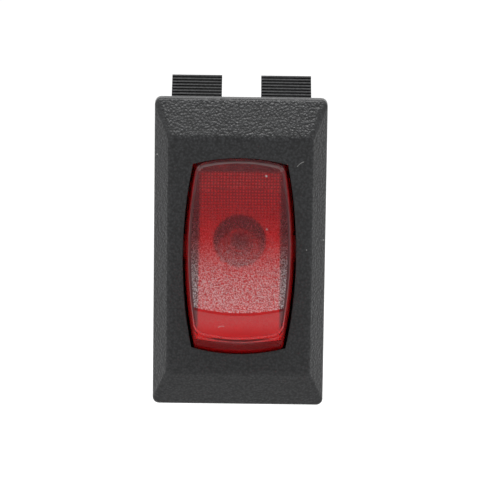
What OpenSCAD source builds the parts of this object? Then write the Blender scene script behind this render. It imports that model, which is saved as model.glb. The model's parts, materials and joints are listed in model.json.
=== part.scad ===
// Illuminated snap-in rocker switch with a sloped bezel.
// Every piece is drawn lying face up: X across, Y up the panel, Z out of the panel towards the finger,
// with Z = 0 on the panel's front. stand_up() then turns the front to face -Y.
// The switch is drawn switched on: the upper end of the rocker is pressed in.

/* [Bezel] */
// Width of the bezel
bezel_w = 34.6; // [33:0.1:40]
// Height of the bezel
bezel_h = 63; // [60:0.5:70]
// Height of the straight rim above the panel
rim_h = 2.5; // [2:0.1:3.5]
// Rise of the slopes from the rim to the flat front
slope_rise = 3.5; // [3:0.1:4.5]
// Run of the slopes along the two long sides
side_run = 3; // [2:0.1:3.4]
// Run of the slopes at the two ends
end_run = 7.4; // [6:0.1:8]
// Wall thickness of the bezel
bezel_wall = 2; // [1.6:0.1:2.4]
// Radius of the upright corners of the bezel
bezel_corner_r = 1.2; // [0.6:0.1:1.5]

/* [Snap arms] */
// Width of each snap arm
snap_w = 10.2; // [8:0.1:10.5]
// Distance from the middle of the bezel to the middle of each arm
snap_offset = 9.1; // [7:0.1:9.5]
// Thickness of the arms
snap_t = 1.2; // [1:0.1:1.6]
// Gap between the housing and the straight root of the arms
snap_gap = 0.75; // [0.4:0.05:1.2]
// Length of the straight root behind the panel's front
snap_root_l = 1; // [0.5:0.1:2]
// Length of the flared, ridged part
snap_flare_l = 16.9; // [12:0.1:18]
// Angle by which the arms flare outwards
snap_flare = 28; // [15:1:32]
// Pitch of the gripping ridges
ridge_pitch = 1; // [0.8:0.05:1.4]
// Height of the ridges
ridge_h = 0.4; // [0.2:0.05:0.6]

/* [Rocker] */
// Depth of the rocker's pivot behind the panel's front
pivot_depth = 3; // [2.5:0.1:3.5]
// Tilt of the rocker to each side of its middle position
rocker_tilt = 9; // [7:0.5:10]
// Width of the rocker where it passes the bezel's front
rocker_w = 21; // [19:0.1:22]
// Radius from the pivot to the rocker's rounded ends
rocker_end_r = 21.6; // [20.5:0.1:22]
// Radius by which the ends bow outwards across their width
end_bow_r = 39; // [30:1:80]
// Radius by which the sides bow outwards along their length
side_bow_r = 97; // [80:1:160]
// Draft of the sides, in degrees
side_draft = 5.4; // [3:0.2:7]
// Height of the two crests of the face above the pivot
crest_h = 12.5; // [11.8:0.1:13.5]
// Distance of each crest from the middle of the face
crest_at = 12.5; // [10:0.25:13]
// Fall of the end lands, in degrees
land_fall = 4.9; // [2:0.1:8]
// Depth of the finger dish below the crests
dish_depth = 1.15; // [0.6:0.05:1.6]
// Radius of the finger dish across the face
dish_cross_r = 145; // [100:5:300]
// Thickness of the lens over its pocket, below the finger dish
roof_t = 1.85; // [1.2:0.05:2.4]
// Height of the lens's lower edge above the pivot
skirt_h = 3; // [2.9:0.05:3.4]
// Thickness of the lens's sides at the bezel's front
lens_side_t = 2.3; // [2.1:0.1:3.2]
// Distance from the end radius to the upper end of the pocket in the lens
pocket_top_gap = 5.9; // [5.4:0.1:8]
// Distance from the end radius to the lower end of the pocket in the lens
pocket_low_gap = 3.9; // [3.8:0.1:8]
// Gap between the rocker's sides and the opening
side_gap = 0.8; // [0.6:0.05:1.2]
// Gap between the rocker's ends and the opening
end_gap = 0.45; // [0.3:0.05:0.8]

/* [Inside the rocker] */
// Thickness of the diffuser plate
diffuser_t = 1; // [0.6:0.1:1.4]
// Radius of the hole in the diffuser
diffuser_hole_r = 5.3; // [5:0.1:6]
// Wall thickness of the carrier
carrier_wall = 1.2; // [0.8:0.1:1.8]
// Height of the carrier's lower edge above the pivot
carrier_low = 1; // [0.5:0.1:2]
// Thickness of the web that holds the plunger tube
web_t = 1.5; // [1:0.1:2]
// Length of the web along the rocker
web_l = 12; // [10:0.5:14]
// Bore radius of the plunger tube
tube_bore_r = 2.8; // [2.4:0.1:3.2]
// Wall thickness of the plunger tube
tube_wall = 1.8; // [1.2:0.1:2]
// Reach of the plunger tube behind the pivot
tube_reach = 5; // [4:0.1:6]
// Depth of the tube's mouth below the top of the carrier
tube_sink = 2.5; // [0:0.1:2.6]
// Lean of the plunger tube towards the upper end of the rocker, in degrees
tube_lean = 6; // [0:0.5:7]
// Radius of the trunnions
trunnion_r = 1.9; // [1.5:0.1:2]
// Radius of the bosses that carry the trunnions
boss_r = 2.7; // [2.5:0.05:2.8]

/* [Plunger and spring] */
// Distance from the pivot to the middle of the plunger's ball tip
ball_reach = 9.5; // [9:0.1:11]
// Radius of the ball tip
ball_r = 1.5; // [1.2:0.05:1.8]
// Distance from the pivot to the shoulder over the nose
shoulder_reach = 8; // [7:0.1:8.4]
// Distance from the pivot to the plunger's spring seat
seat_reach = 1; // [0.5:0.1:2]
// Height of the peg that centres the spring
peg_h = 1.8; // [1:0.1:2.5]
// Radius of the peg
peg_r = 1.5; // [1:0.1:1.7]
// Wire thickness of the spring
spring_wire = 0.5; // [0.3:0.05:0.6]
// Number of turns of the spring
spring_turns = 7; // [5:1:9]
// Gap between the ball tip and the trough of the contact arm
ball_clear = 0.1; // [0.05:0.01:0.2]

/* [Contacts] */
// Turn of the contact arm for each degree of the rocker
arm_ratio = 0.6666667; // [0.6:0.01:0.7]
// Radius of the trough that the plunger rides in
trough_r = 4.4; // [4.2:0.1:5]
// Half width of the trough along the arm
trough_half = 3; // [2.4:0.1:3.2]
// Height of the trough's floor in front of the arm's pivot
trough_lift = 0.95; // [0.85:0.05:1.2]
// Width of the contact arm
strip_w = 6; // [5:0.1:7]
// Thickness of the contact arm and the terminals' feet
strip_t = 0.8; // [0.6:0.05:0.9]
// Reach of the arm on its contact side
arm_reach = 10.8; // [10.6:0.1:12]
// Reach of the arm on its free side
arm_tail = 8; // [7:0.1:8.5]
// Distance from the arm's pivot to the moving contact
contact_at = 9; // [8.6:0.1:9.2]
// Radius of the moving contact
contact_r = 1.5; // [1.2:0.1:1.6]
// Height of the moving contact
contact_t = 1; // [0.8:0.05:1.2]
// Radius of the moving contact's domed face
contact_dome_r = 3; // [2.5:0.1:5]
// Radius of the shank of the moving contact
contact_shank_r = 0.8; // [0.5:0.05:0.9]
// Radius of the fixed contact
fixed_contact_r = 1.8; // [1.5:0.1:2]
// Gap between the contacts when they are closed
contact_clear = 0.04; // [0.02:0.01:0.1]
// Radius of the pivot bead of the contact arm
bead_r = 0.6; // [0.5:0.05:0.7]
// Distance from the arm's pivot to the floor of the base
arm_standoff = 2.6; // [2.5:0.05:3]

/* [Housing and base] */
// Wall thickness of the housing
housing_wall = 1.4; // [1.2:0.05:1.6]
// Gap between the rocker's ends and the housing
housing_end_gap = 0.4; // [0.3:0.05:0.6]
// Gap between the rocker's skirt and the housing
housing_side_gap = 1; // [0.8:0.05:1.2]
// Radius of the upright corners of the housing
housing_corner_r = 1.6; // [1.5:0.1:2]
// Thickness of the base
base_t = 3; // [2.5:0.1:4]
// Width of the ledges that stop the rocker
ledge_w = 16; // [12:0.5:18]
// Depth of the ledges along the rocker
ledge_l = 1.8; // [1.4:0.1:2.2]
// Thickness of the ledges
ledge_t = 1.6; // [1:0.1:2]
// Length of the nubs that hold the housing in the bezel
nub_l = 10; // [8:0.5:14]
// Height of the nubs
nub_h = 0.8; // [0.6:0.05:1]
// Thickness of the nubs
nub_t = 1.1; // [0.8:0.1:1.3]
// Distance of the nubs from the housing's front edge
nub_drop = 1.2; // [0.8:0.1:1.4]
// Thickness of the bezel's ribs that the nubs snap behind
rib_t = 0.9; // [0.6:0.1:1.1]
// Length of the snap lugs of the base
lug_l = 5; // [4:0.5:7]
// Height of the snap lugs
lug_h = 0.9; // [0.6:0.05:1.1]
// Thickness of the snap lugs
lug_t = 1.2; // [0.8:0.1:1.6]
// Distance of the snap lugs from the middle of the base
lug_at = 12; // [10:0.5:15]
// Length of the post that stops the contact arm
post_l = 1.6; // [1.2:0.1:1.8]
// Width of the post that stops the contact arm
post_w = 4; // [3:0.1:5]

/* [Terminals] */
// Distance between neighbouring terminals
terminal_pitch = 12; // [11.8:0.1:13]
// Width of the spade blades
blade_w = 6.3; // [4.8:0.1:6.4]
// Thickness of the spade blades
blade_t = 0.8; // [0.5:0.1:1]
// Length of the blades behind the base
blade_l = 10; // [8:0.5:13]
// Chamfer of the blade tips
blade_chamfer = 1.2; // [0.6:0.1:2]
// Radius of the locking hole in each blade
blade_hole_r = 0.9; // [0.6:0.05:1]
// Distance of the locking hole from the blade's tip
blade_hole_at = 4; // [3:0.1:6]
// Width of the terminals' feet
foot_w = 4.4; // [4:0.1:5]
// Distance of the rivets from the middle of the base
rivet_at = 6.4; // [6.2:0.1:7]
// Radius of the rivets' shanks
rivet_r = 0.75; // [0.5:0.05:0.9]
// Radius of the rivets' heads
rivet_head_r = 1.3; // [1.1:0.05:1.4]
// Height of the rivets' heads
rivet_head_h = 0.6; // [0.4:0.05:0.8]
// Gap between the contact arm and the ears that carry it
ear_gap = 0.4; // [0.3:0.05:0.6]
// Width of the ears
ear_w = 3; // [2.4:0.1:3.6]

/* [Lamp and resistor] */
// Distance of the lamp from the middle of the base
lamp_at = 13.4; // [13.2:0.1:14]
// Radius of the lamp
lamp_r = 2.5; // [2:0.1:2.6]
// Length of the lamp from its flange to its tip
lamp_l = 8.5; // [7:0.1:9]
// Radius of the lamp's flange
lamp_flange_r = 2.9; // [2.8:0.05:3]
// Thickness of the lamp's flange
lamp_flange_t = 1; // [0.8:0.1:1.4]
// Height of the lamp above the terminals' feet
lamp_lift = 1.8; // [1.4:0.1:2.4]
// Distance between the lamp's legs
leg_pitch = 2.54; // [2.2:0.02:2.8]
// Thickness of the lamp's legs
leg_t = 0.5; // [0.4:0.02:0.6]
// Distance of the resistor from the inner side of the housing
resistor_inset = 3; // [2:0.1:3.3]
// Length of the resistor
resistor_l = 5; // [4:0.1:6.2]
// Radius of the resistor's ends
resistor_r = 1; // [0.8:0.02:1.02]
// Radius of the resistor's waist
resistor_waist_r = 0.85; // [0.6:0.02:0.9]
// Radius of the resistor's wires
lead_r = 0.25; // [0.2:0.01:0.3]
// Radius of the solder beads
solder_r = 0.75; // [0.6:0.05:0.9]

/* [Fits] */
// Gap between moulded pieces that fit into each other
fit = 0.05; // [0.02:0.01:0.1]
// Radial clearance of running fits
run_fit = 0.05; // [0.02:0.01:0.08]
// Clearance left at the stops of the rocker and the contact arm
stop_clear = 0.15; // [0.08:0.01:0.3]

/* [Hidden] */
$fn = 96;
// Facet count of the large radii
fine = 360;
// Overlap of pieces that are joined, and overrun of cuts
join = 0.4;
over = 1;

// Bezel: depth, and the shell offset inside its slopes
bezel_depth = rim_h + slope_rise;
ceiling_h = bezel_depth - bezel_wall;
function slope_l(run) = norm([run, slope_rise]);
function inner_rim(run) = rim_h - bezel_wall * (slope_l(run) - slope_rise) / run;
function inner_run(run) = run - bezel_wall + bezel_wall * (slope_l(run) - run) / slope_rise;

// Rocker: heights are measured from its pivot
front_h = bezel_depth + pivot_depth;
pocket_h = crest_h - dish_depth - roof_t;
dish_r = (crest_at * crest_at + dish_depth * dish_depth) / (2 * dish_depth);
apex_h = crest_h + crest_at * tan(land_fall);
skirt_w = rocker_w + 2 * (front_h - skirt_h) * tan(side_draft);
skirt_end = sqrt(rocker_end_r * rocker_end_r - skirt_h * skirt_h);
pocket_w = rocker_w - 2 * lens_side_t;
pocket_l = 2 * rocker_end_r - pocket_top_gap - pocket_low_gap;
pocket_drop = (pocket_top_gap - pocket_low_gap) / 2;
carrier_w = pocket_w - 2 * fit;
carrier_l = pocket_l - 2 * fit;
carrier_top = pocket_h - diffuser_t - 2 * fit;
tube_r = tube_bore_r + tube_wall;
mouth_at = (carrier_top + ball_reach) * tan(tube_lean);

// Housing
housing_in_w = skirt_w + 2 * housing_side_gap;
housing_in_l = 2 * (rocker_end_r + housing_end_gap);
housing_w = housing_in_w + 2 * housing_wall;
housing_l = housing_in_l + 2 * housing_wall;
housing_in_r = housing_corner_r - housing_wall;
ledge_depth = pivot_depth + skirt_end * sin(rocker_tilt) - skirt_h * cos(rocker_tilt) + stop_clear;
nub_top = ceiling_h - nub_drop;

// Snap arms
snap_in = housing_l / 2 + snap_gap;
snap_out = snap_in + snap_t;

// Contact arm, drawn flat with its pivot at the origin and the trough facing up
arm_tilt = rocker_tilt * arm_ratio;
trough_mid = trough_lift + trough_r;
wing_top = trough_mid - sqrt(trough_r * trough_r - trough_half * trough_half);
wing_low = wing_top - strip_t;
moving_tip = wing_low - contact_t;
arm_depth = pivot_depth + ball_reach + ball_r + ball_clear + trough_lift;
floor_depth = arm_depth + arm_standoff;
foot_depth = floor_depth - strip_t;
rear_depth = floor_depth + base_t;
lug_low = -floor_depth - (base_t + lug_t) / 2;
lug_high = lug_low + lug_t;
closed_depth = arm_depth + contact_at * sin(arm_tilt)
    - (moving_tip + contact_dome_r) * cos(arm_tilt) + contact_dome_r;
closed_at = -contact_at * cos(arm_tilt) - (moving_tip + contact_dome_r) * sin(arm_tilt);
post_at = arm_tail - post_l - join;
post_depth = arm_depth + (post_at + post_l) * sin(arm_tilt) - wing_low * cos(arm_tilt) + stop_clear;
ear_in = strip_w / 2 + ear_gap;

// Lamp and resistor
lamp_depth = foot_depth - lamp_lift;
resistor_at = housing_in_w / 2 - resistor_inset;
wire_depth = foot_depth - lead_r;
load_wire_at = -terminal_pitch + foot_w / 2 - 2 * lead_r;
load_wire_end = blade_w / 2 + over;
foot_end = load_wire_end + 2 * over;

// Placing

module stand_up() {
    rotate([90, 0, 0]) children();
}

module in_rocker() {
    stand_up() translate([0, 0, -pivot_depth]) rotate([-rocker_tilt, 0, 0]) children();
}

module in_pocket() {
    translate([0, -pocket_drop, 0]) children();
}

// Leans about the middle of the plunger's ball, which stays on the rocker's middle line
module in_tube() {
    translate([0, 0, -ball_reach]) rotate([-tube_lean, 0, 0]) translate([0, 0, ball_reach]) children();
}

module in_arm() {
    stand_up() translate([0, 0, -arm_depth]) rotate([arm_tilt, 0, 0]) children();
}

module both_sides() {
    children();
    mirror([1, 0, 0]) children();
}

module both_ends() {
    children();
    mirror([0, 1, 0]) children();
}

// Shared shapes

module rounded_rectangle(w, h, r) {
    square([w - 2 * r, h], center = true);
    square([w, h - 2 * r], center = true);
    both_sides() both_ends() translate([w / 2 - r, h / 2 - r]) circle(r);
}

module box(w, l, low, high) {
    translate([-w / 2, -l / 2, low]) cube([w, l, high - low]);
}

module slope_profile(span, rim, run, top, bottom) {
    half = span / 2;
    polygon([
        [-half, bottom], [half, bottom], [half, rim],
        [half - run, top], [run - half, top], [-half, rim]
    ]);
}

module sloped_block(w, h, top, side_rim, side_in, end_rim, end_in, r, bottom) {
    intersection() {
        translate([0, 0, bottom]) linear_extrude(top - bottom) rounded_rectangle(w, h, r);
        rotate([90, 0, 0]) linear_extrude(h, center = true)
            slope_profile(w, side_rim, side_in, top, bottom);
        rotate([90, 0, 90]) linear_extrude(w, center = true)
            slope_profile(h, end_rim, end_in, top, bottom);
    }
}

// The rocker's outline: ends turned about the pivot, sides bowed and drafted
module rocker_form(grow_side, grow_end, low, high) {
    end_r = rocker_end_r + grow_end;
    side_x = rocker_w / 2 + grow_side - side_bow_r;
    intersection() {
        rotate([0, 90, 0]) rotate_extrude($fn = fine) intersection() {
            translate([end_r - end_bow_r, 0]) circle(end_bow_r, $fn = fine);
            translate([0, -rocker_w]) square([end_r + over, 2 * rocker_w]);
        }
        translate([side_x, 0, low]) cylinder(h = high - low, $fn = fine,
            r1 = side_bow_r + (front_h - low) * tan(side_draft),
            r2 = side_bow_r + (front_h - high) * tan(side_draft));
        translate([-side_x, 0, low]) cylinder(h = high - low, $fn = fine,
            r1 = side_bow_r + (front_h - low) * tan(side_draft),
            r2 = side_bow_r + (front_h - high) * tan(side_draft));
    }
}

// Moulded body

module snap_arm() {
    ridge_count = floor((snap_flare_l - ridge_pitch) / ridge_pitch);
    ridge_start = snap_flare_l - ridge_count * ridge_pitch;
    along = [sin(snap_flare), -cos(snap_flare)];
    outward = [cos(snap_flare), sin(snap_flare)];
    bend = [snap_out, -snap_root_l];
    tip = bend + snap_flare_l * along;
    ridges = [
        for (i = [0 : ridge_count - 1])
            for (step = [[0, -ridge_h], [0.5, -ridge_h], [0.5, 0], [1, 0]])
                bend + (ridge_start + (i + step[0]) * ridge_pitch) * along + step[1] * outward
    ];
    inner_bend = [snap_in, -snap_root_l - snap_t * tan(snap_flare / 2)];
    translate([snap_offset, 0, 0]) rotate([90, 0, 90]) linear_extrude(snap_w, center = true)
        polygon(concat(
            [[snap_in, ceiling_h + join], [snap_out, ceiling_h + join], bend,
             bend + ridge_start * along],
            ridges,
            [tip - snap_t * outward, inner_bend]
        ));
}

module hook_rib() {
    rib_w = (bezel_w - housing_w) / 2 - bezel_wall + join;
    translate([housing_w / 2 + 2 * fit, -nub_l / 2 - over, nub_top - nub_t - 2 * fit - rib_t])
        cube([rib_w, nub_l + 2 * over, rib_t]);
}

module bezel() {
    color("#38383a") stand_up() {
        difference() {
            sloped_block(bezel_w, bezel_h, bezel_depth,
                rim_h, side_run, rim_h, end_run, bezel_corner_r, 0);
            sloped_block(bezel_w - 2 * bezel_wall, bezel_h - 2 * bezel_wall, ceiling_h,
                inner_rim(side_run), inner_run(side_run),
                inner_rim(end_run), inner_run(end_run), bezel_corner_r / 2, -over);
            box(housing_w + 2 * fit, housing_l + 2 * fit, -over, ceiling_h);
            translate([0, 0, -pivot_depth])
                rocker_form(side_gap, end_gap, front_h - bezel_wall - over, front_h + over);
        }
        both_sides() hook_rib();
        both_sides() both_ends() snap_arm();
    }
}

module housing() {
    color("#2a2a2c") stand_up() {
        difference() {
            translate([0, 0, -rear_depth]) linear_extrude(rear_depth + ceiling_h)
                rounded_rectangle(housing_w, housing_l, housing_corner_r);
            translate([0, 0, -rear_depth - over]) linear_extrude(rear_depth + ceiling_h + 2 * over)
                rounded_rectangle(housing_in_w, housing_in_l, housing_in_r);
            translate([0, 0, -pivot_depth]) rotate([0, 90, 0])
                cylinder(r = trunnion_r + run_fit, h = housing_w + 2 * over, center = true);
            both_ends() translate([0, lug_at, 0])
                box(housing_w + 2 * over, lug_l + 4 * fit, lug_low - 2 * fit, lug_high + 2 * fit);
        }
        both_ends() translate([-ledge_w / 2, housing_in_l / 2 - ledge_l, -ledge_depth - ledge_t])
            cube([ledge_w, ledge_l + join, ledge_t]);
        both_sides() translate([housing_w / 2 - join, -nub_l / 2, nub_top - nub_t])
            cube([nub_h + join, nub_l, nub_t]);
    }
}

module terminal_base() {
    color("#1f1f21") stand_up() {
        difference() {
            union() {
                translate([0, 0, -rear_depth]) linear_extrude(base_t)
                    rounded_rectangle(housing_in_w - 2 * fit, housing_in_l - 2 * fit, housing_in_r);
                both_ends() translate([0, lug_at, 0])
                    box(housing_in_w + 2 * lug_h, lug_l, lug_low, lug_high);
                translate([-post_w / 2, post_at, -floor_depth - join])
                    cube([post_w, post_l, floor_depth - post_depth + join]);
            }
            for (row = [-1, 0, 1])
                translate([0, row * terminal_pitch, 0])
                    box(blade_w + 2 * fit, blade_t + 2 * fit, -rear_depth - over, -foot_depth);
            rivet_places() cylinder(r = rivet_r + fit, h = 2 * rear_depth, center = true);
        }
    }
}

// Terminals

module rivet_places() {
    for (row = [-1, 0, 1])
        translate([-rivet_at, row * terminal_pitch, 0]) children();
}

module blade() {
    tip = -rear_depth - blade_l;
    half = blade_w / 2;
    difference() {
        rotate([90, 0, 0]) linear_extrude(blade_t, center = true) polygon([
            [-half, -foot_depth], [-half, tip + blade_chamfer], [blade_chamfer - half, tip],
            [half - blade_chamfer, tip], [half, tip + blade_chamfer], [half, -foot_depth]
        ]);
        translate([0, 0, tip + blade_hole_at]) rotate([90, 0, 0])
            cylinder(r = blade_hole_r, h = blade_t + 2 * over, center = true);
    }
}

// A stamped foot with its blade, and a hole for its rivet
module terminal(row, right_end) {
    left_end = rivet_at + rivet_head_r + join;
    translate([0, row * terminal_pitch, 0]) {
        difference() {
            translate([-left_end, -foot_w / 2, -floor_depth])
                cube([left_end + right_end, foot_w, strip_t]);
            translate([-rivet_at, 0, -floor_depth])
                cylinder(r = rivet_r + fit, h = 2 * over + strip_t, center = true);
        }
        blade();
    }
}

module supply_terminal() {
    color("#c9a64e") stand_up() {
        terminal(0, ear_in + strip_t + join);
        both_sides() difference() {
            translate([ear_in, -ear_w / 2, -floor_depth])
                cube([strip_t, ear_w, floor_depth - arm_depth + bead_r + join]);
            translate([0, 0, -arm_depth]) {
                rotate([0, 90, 0]) cylinder(r = bead_r + run_fit, h = housing_w, center = true);
                box(housing_w, 2 * (bead_r + run_fit), 0, bead_r + over);
            }
        }
    }
}

module load_terminal() {
    pad_end = closed_at + fixed_contact_r + join;
    color("#c9a64e") stand_up() {
        terminal(-1, foot_end);
        translate([-fixed_contact_r - join, -terminal_pitch, -floor_depth])
            cube([2 * (fixed_contact_r + join), terminal_pitch + pad_end, strip_t]);
    }
}

module ground_terminal() {
    tongue_l = lamp_at - terminal_pitch + 2 * leg_t;
    color("#c9a64e") stand_up() difference() {
        union() {
            terminal(1, blade_w / 2);
            translate([-leg_pitch, terminal_pitch, -floor_depth])
                cube([leg_pitch, tongue_l, strip_t]);
        }
        translate([leg_pitch / 2 - 2 * leg_t, lamp_at - 2 * leg_t, -floor_depth - over])
            cube([blade_w, foot_w, strip_t + 2 * over]);
    }
}

module rivet() {
    rotate_extrude() polygon([
        [0, -rear_depth - rivet_head_h], [rivet_r, -rear_depth - rivet_head_h],
        [rivet_head_r, -rear_depth], [rivet_r, -rear_depth], [rivet_r, -foot_depth],
        [rivet_head_r, -foot_depth], [rivet_r, rivet_head_h - foot_depth], [0, rivet_head_h - foot_depth]
    ]);
}

module terminal_rivets() {
    color("#d8bc70") stand_up() rivet_places() rivet();
}

module fixed_contact() {
    face = -closed_depth - contact_clear;
    chamfer = contact_t / 4;
    color("#d5d7da") stand_up() translate([0, closed_at, 0]) rotate_extrude() polygon([
        [0, -foot_depth], [fixed_contact_r, -foot_depth], [fixed_contact_r, face - chamfer],
        [fixed_contact_r - chamfer, face], [0, face]
    ]);
}

// Lamp circuit

module lamp() {
    color("#e8e8e4") stand_up() translate([0, lamp_at, -lamp_depth]) {
        cylinder(r = lamp_flange_r, h = lamp_flange_t);
        cylinder(r = lamp_r, h = lamp_l - lamp_r);
        translate([0, 0, lamp_l - lamp_r]) sphere(lamp_r);
    }
}

module leg(side, end_depth, grow) {
    translate([side * leg_pitch / 2, lamp_at, 0])
        box(leg_t + 2 * grow, leg_t + 2 * grow, -end_depth, -lamp_depth);
}

module lamp_legs() {
    color("#b9bcc0") stand_up() {
        leg(-1, foot_depth, 0);
        leg(1, wire_depth - lead_r, 0);
    }
}

module lamp_resistor() {
    half = resistor_l / 2;
    collar = resistor_l / 4;
    bulge = [
        [resistor_waist_r, half - collar], [resistor_r, half - collar + lead_r],
        [resistor_r, half - lead_r], [resistor_waist_r, half], [0, half]
    ];
    other_end = [for (i = [len(bulge) - 1 : -1 : 0]) [bulge[i][0], -bulge[i][1]]];
    color("#c8b48a") stand_up() translate([resistor_at, 0, -wire_depth]) rotate([90, 0, 0])
        rotate_extrude() polygon(concat(bulge, other_end));
}

// One wire: out of the resistor's end, round one bend and across to its terminal
module lead(start, corner, stop_x, grow) {
    r = lead_r + grow;
    translate([0, 0, -wire_depth]) {
        translate([resistor_at, start, 0]) rotate([corner < start ? 90 : -90, 0, 0])
            cylinder(r = r, h = abs(corner - start));
        translate([resistor_at, corner, 0]) sphere(r);
        translate([stop_x, corner, 0]) rotate([0, 90, 0]) cylinder(r = r, h = resistor_at - stop_x);
    }
}

module lamp_lead(grow) {
    lead(resistor_l / 2, lamp_at, leg_pitch / 2 - leg_t / 2, grow);
}

module load_lead(grow) {
    lead(-resistor_l / 2, load_wire_at, load_wire_end, grow);
}

module resistor_leads() {
    color("#b9bcc0") stand_up() {
        lamp_lead(0);
        load_lead(0);
    }
}

module solder_joints() {
    color("#c4c7ca") stand_up() difference() {
        union() {
            solder_bead(-leg_pitch / 2, lamp_at, foot_depth);
            solder_bead(load_wire_end + solder_r, load_wire_at, foot_depth);
            translate([leg_pitch / 2, lamp_at, -wire_depth]) sphere(solder_r);
        }
        leg(-1, foot_depth, fit / 2);
        leg(1, wire_depth - lead_r, fit / 2);
        lamp_lead(fit / 2);
        load_lead(fit / 2);
    }
}

module solder_bead(x, y, depth) {
    translate([x, y, -depth]) intersection() {
        sphere(solder_r);
        box(2 * solder_r, 2 * solder_r, 0, solder_r);
    }
}

// Contact arm

module contact_arm() {
    color("#c08a4a") in_arm() {
        difference() {
            rotate([90, 0, 90]) linear_extrude(strip_w, center = true) arm_profile();
            translate([0, -contact_at, 0])
                cylinder(r = contact_shank_r + fit / 2, h = 2 * trough_mid, center = true);
        }
        rotate([0, 90, 0])
            cylinder(r = bead_r, h = 2 * (ear_in + strip_t + ear_gap), center = true);
    }
}

module arm_profile() {
    intersection() {
        translate([0, trough_mid]) difference() {
            circle(trough_r + strip_t);
            circle(trough_r);
        }
        translate([-trough_half, 0]) square([2 * trough_half, wing_top]);
    }
    translate([-arm_reach, wing_low]) square([arm_reach - trough_half + join, strip_t]);
    translate([trough_half - join, wing_low]) square([arm_tail - trough_half + join, strip_t]);
}

module moving_contact() {
    color("#d5d7da") in_arm() translate([0, -contact_at, 0]) {
        intersection() {
            translate([0, 0, moving_tip]) cylinder(r = contact_r, h = contact_t);
            translate([0, 0, moving_tip + contact_dome_r]) sphere(contact_dome_r);
        }
        translate([0, 0, wing_low - contact_t / 2])
            cylinder(r = contact_shank_r, h = strip_t + contact_t);
        translate([0, 0, wing_top])
            cylinder(r1 = contact_r, r2 = contact_shank_r, h = contact_t / 2);
    }
}

// Rocker

module rocker_carrier() {
    web_low = carrier_top / 2;
    boss_end = housing_in_w / 2 - 2 * stop_clear;
    color("#aa383a") in_rocker() difference() {
        union() {
            in_pocket() difference() {
                box(carrier_w, carrier_l, carrier_low, carrier_top);
                box(carrier_w - 2 * carrier_wall, carrier_l - 2 * carrier_wall,
                    carrier_low - over, carrier_top + over);
            }
            box(carrier_w, web_l, web_low, web_low + web_t);
            intersection() {
                in_tube() translate([0, 0, -tube_reach])
                    cylinder(r = tube_r, h = tube_reach + carrier_top + over);
                box(carrier_w, carrier_l, -2 * tube_reach, carrier_top - tube_sink);
            }
            both_sides() {
                translate([carrier_w / 2 - carrier_wall, 0, 0]) rotate([0, 90, 0])
                    cylinder(r = boss_r, h = boss_end - carrier_w / 2 + carrier_wall);
                translate([boss_end - join, 0, 0]) rotate([0, 90, 0])
                    cylinder(r = trunnion_r, h = housing_w / 2 - 2 * fit - boss_end + join);
            }
        }
        in_tube() translate([0, 0, -tube_reach - over])
            cylinder(r = tube_bore_r, h = tube_reach + carrier_top + 3 * over);
    }
}

module plunger() {
    body_r = tube_bore_r - run_fit;
    color("#f2f0ea") in_rocker() in_tube() {
        translate([0, 0, -shoulder_reach]) cylinder(r = body_r, h = shoulder_reach - seat_reach);
        translate([0, 0, -ball_reach])
            cylinder(r1 = ball_r, r2 = body_r, h = ball_reach - shoulder_reach);
        translate([0, 0, -ball_reach]) sphere(ball_r);
        translate([0, 0, -seat_reach - join]) cylinder(r = peg_r, h = peg_h + join);
    }
}

// A round wire swept along a helix, ring by ring
module plunger_spring() {
    ring_sides = 8;
    rings_per_turn = 16;
    rings = spring_turns * rings_per_turn;
    coil_r = tube_bore_r - 2 * run_fit - spring_wire;
    low = fit - seat_reach + spring_wire / 2;
    top = (pocket_h - fit - spring_wire / 2 + ball_reach) / cos(tube_lean) - ball_reach;
    rise = (top - low) / rings;
    points = [
        for (i = [0 : rings])
            for (j = [0 : ring_sides - 1])
                let (turn = 360 * i / rings_per_turn,
                     side = 360 * j / ring_sides,
                     reach = coil_r + spring_wire / 2 * cos(side))
                [reach * cos(turn), reach * sin(turn), low + i * rise + spring_wire / 2 * sin(side)]
    ];
    walls = [
        for (i = [0 : rings - 1])
            for (j = [0 : ring_sides - 1])
                let (a = i * ring_sides + j, b = i * ring_sides + (j + 1) % ring_sides)
                [a, a + ring_sides, b + ring_sides, b]
    ];
    start_cap = [for (j = [0 : ring_sides - 1]) j];
    end_cap = [for (j = [ring_sides - 1 : -1 : 0]) rings * ring_sides + j];
    color("#c9ccd0") in_rocker() in_tube() polyhedron(points, concat(walls, [start_cap, end_cap]));
}

module diffuser() {
    color("#f6efe9") in_rocker() difference() {
        in_pocket() box(carrier_w, carrier_l, pocket_h - diffuser_t - fit, pocket_h - fit);
        translate([0, mouth_at, 0]) cylinder(r = diffuser_hole_r, h = 2 * crest_h, center = true);
    }
}

module rocker_lens() {
    reach = rocker_end_r + over;
    land_end = apex_h - reach * tan(land_fall);
    color("#b0141c", 0.85) in_rocker() difference() {
        intersection() {
            rocker_form(0, 0, skirt_h, apex_h);
            rotate([90, 0, 90]) linear_extrude(2 * rocker_w, center = true) polygon([
                [-reach, skirt_h], [reach, skirt_h], [reach, land_end], [0, apex_h], [-reach, land_end]
            ]);
        }
        translate([0, 0, crest_h - dish_depth + dish_r]) rotate([0, 90, 0])
            rotate_extrude($fn = fine) intersection() {
                translate([dish_r - dish_cross_r, 0]) circle(dish_cross_r, $fn = fine);
                translate([0, -rocker_w]) square([dish_r + over, 2 * rocker_w]);
            }
        in_pocket() box(pocket_w, pocket_l, skirt_h - over, pocket_h);
    }
}

bezel();
housing();
terminal_base();
supply_terminal();
load_terminal();
ground_terminal();
terminal_rivets();
fixed_contact();
lamp();
lamp_legs();
lamp_resistor();
resistor_leads();
solder_joints();
contact_arm();
moving_contact();
rocker_carrier();
plunger();
plunger_spring();
diffuser();
rocker_lens();
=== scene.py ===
import json
import math

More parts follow.
